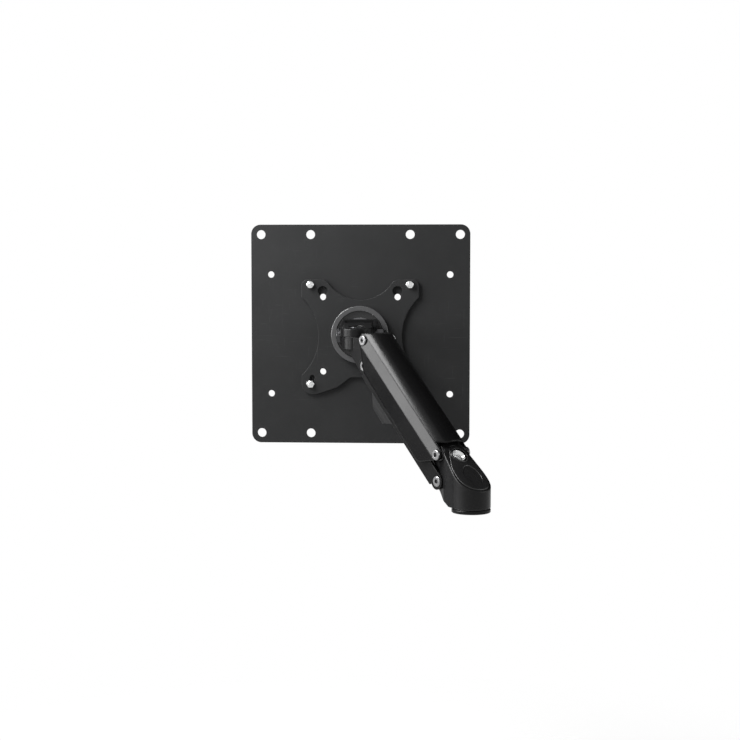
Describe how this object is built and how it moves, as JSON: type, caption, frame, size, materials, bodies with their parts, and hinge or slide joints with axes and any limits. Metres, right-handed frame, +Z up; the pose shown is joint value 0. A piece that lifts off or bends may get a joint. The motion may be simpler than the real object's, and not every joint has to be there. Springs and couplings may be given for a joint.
{
  "type": "monitor arm",
  "caption": "Sprung monitor arm with a sloped elbow, a parallel lower link, a swivelling and tilting head and a square screen adapter plate on a turning disc.",
  "frame": {"origin": "the elbow's turning axis at the underside of the base collar, where the lower arm's post enters", "axes": "+X to the right of the picture, +Y towards the screen, +Z up"},
  "size_m": [0.2388, 0.2027, 0.2586],
  "materials": {
    "black_casting": "satin black paint on a die casting",
    "black_collar": "satin black paint",
    "black_sheet": "fine-textured charcoal powder coat on steel sheet",
    "black_plastic": "satin black moulding",
    "grey_disc": "grey satin die casting",
    "zinc_steel": "bright zinc plate",
    "spring_black": "gloss black paint",
    "bush_plastic": "plain dark bearing plastic"
  },
  "bodies": {
    "base": {"pivot_collar": "black_collar", "pivot_tube": "zinc_steel", "thrust_washer": "bush_plastic", "retaining_ring": "zinc_steel"},
    "elbow": {"elbow_housing": "black_casting", "elbow_cap": "black_plastic", "swivel_bush": "bush_plastic", "upper_rear_bushes": "bush_plastic", "lower_rear_bushes": "bush_plastic", "barrel_nut": "zinc_steel"},
    "tension_bolt": {"tension_bolt": "zinc_steel"},
    "arm": {"arm_shell": "black_casting", "upper_rear_screws": "zinc_steel", "upper_front_screws": "zinc_steel", "gas_cylinder": "spring_black", "anchor_pin": "zinc_steel"},
    "gas_rod": {"gas_rod": "zinc_steel"},
    "lower_link": {"lower_link": "black_sheet", "lower_rear_screws": "zinc_steel", "lower_front_screws": "zinc_steel", "cable_clip": "black_plastic"},
    "front_link": {"front_link": "black_casting", "upper_front_bushes": "bush_plastic", "lower_front_bushes": "bush_plastic", "swivel_bolt": "zinc_steel", "swivel_nut": "zinc_steel", "swivel_washer": "zinc_steel", "swivel_friction_ring": "bush_plastic"},
    "head_knuckle": {"head_knuckle": "black_casting"},
    "tilt_head": {"tilt_clevis": "black_sheet", "tilt_bolt": "zinc_steel", "tilt_nut": "zinc_steel", "tilt_washers": "bush_plastic", "rotation_bolt": "zinc_steel", "rotation_nut": "zinc_steel", "rotation_nut_washer": "zinc_steel"},
    "plate": {"rotation_disc": "grey_disc", "rotation_washer": "bush_plastic", "vesa_plate": "black_sheet", "adapter_plate": "black_sheet", "adapter_screws": "zinc_steel", "adapter_nuts": "zinc_steel"}
  },
  "joints": [
    {"name": "base_swivel", "type": "hinge", "parent": "base", "child": "elbow", "pos_m": [0, 0, 0], "axis": [0, 0, 1], "range_deg": [-180, 180]},
    {"name": "tension_turn", "type": "hinge", "parent": "elbow", "child": "tension_bolt", "pos_m": [-0.0108, 0.01287, 0.049], "axis": [-0.4276, 0.5096, -0.7466], "continuous": true},
    {"name": "arm_lift", "type": "hinge", "parent": "elbow", "child": "arm", "pos_m": [-0.018, 0.02145, 0.0493], "axis": [0.766, 0.6428, 0], "range_deg": [-76.2, 4]},
    {"name": "lower_link_swing", "type": "hinge", "parent": "elbow", "child": "lower_link", "pos_m": [-0.01993, 0.02375, 0.0248], "axis": [0.766, 0.6428, 0], "range_deg": [-77, 5]},
    {"name": "front_link_level", "type": "hinge", "parent": "arm", "child": "front_link", "pos_m": [-0.08958, 0.10675, 0.14679], "axis": [0.766, 0.6428, 0], "range_deg": [-5, 77]},
    {"name": "spring_stroke", "type": "slide", "parent": "arm", "child": "gas_rod", "axis": [-0.4836, 0.5764, 0.6587], "range_m": [-0.0011, 0.017]},
    {"name": "head_swivel", "type": "hinge", "parent": "front_link", "child": "head_knuckle", "pos_m": [-0.11143, 0.1328, 0.14859], "axis": [0, 0, 1], "range_deg": [-50, 130]},
    {"name": "head_tilt", "type": "hinge", "parent": "head_knuckle", "child": "tilt_head", "pos_m": [-0.11143, 0.1568, 0.14859], "axis": [1, 0, 0], "range_deg": [-30, 45]},
    {"name": "plate_rotate", "type": "hinge", "parent": "tilt_head", "child": "plate", "pos_m": [-0.11143, 0.1828, 0.14859], "axis": [0, 1, 0], "range_deg": [-90, 90]}
  ],
  "couplings": [
    {"joint": "lower_link_swing", "follows": "arm_lift", "ratio": 1},
    {"joint": "front_link_level", "follows": "arm_lift", "ratio": -1},
    {"joint": "spring_stroke", "follows": "arm_lift", "m_per_rad": -0.01264}
  ]
}
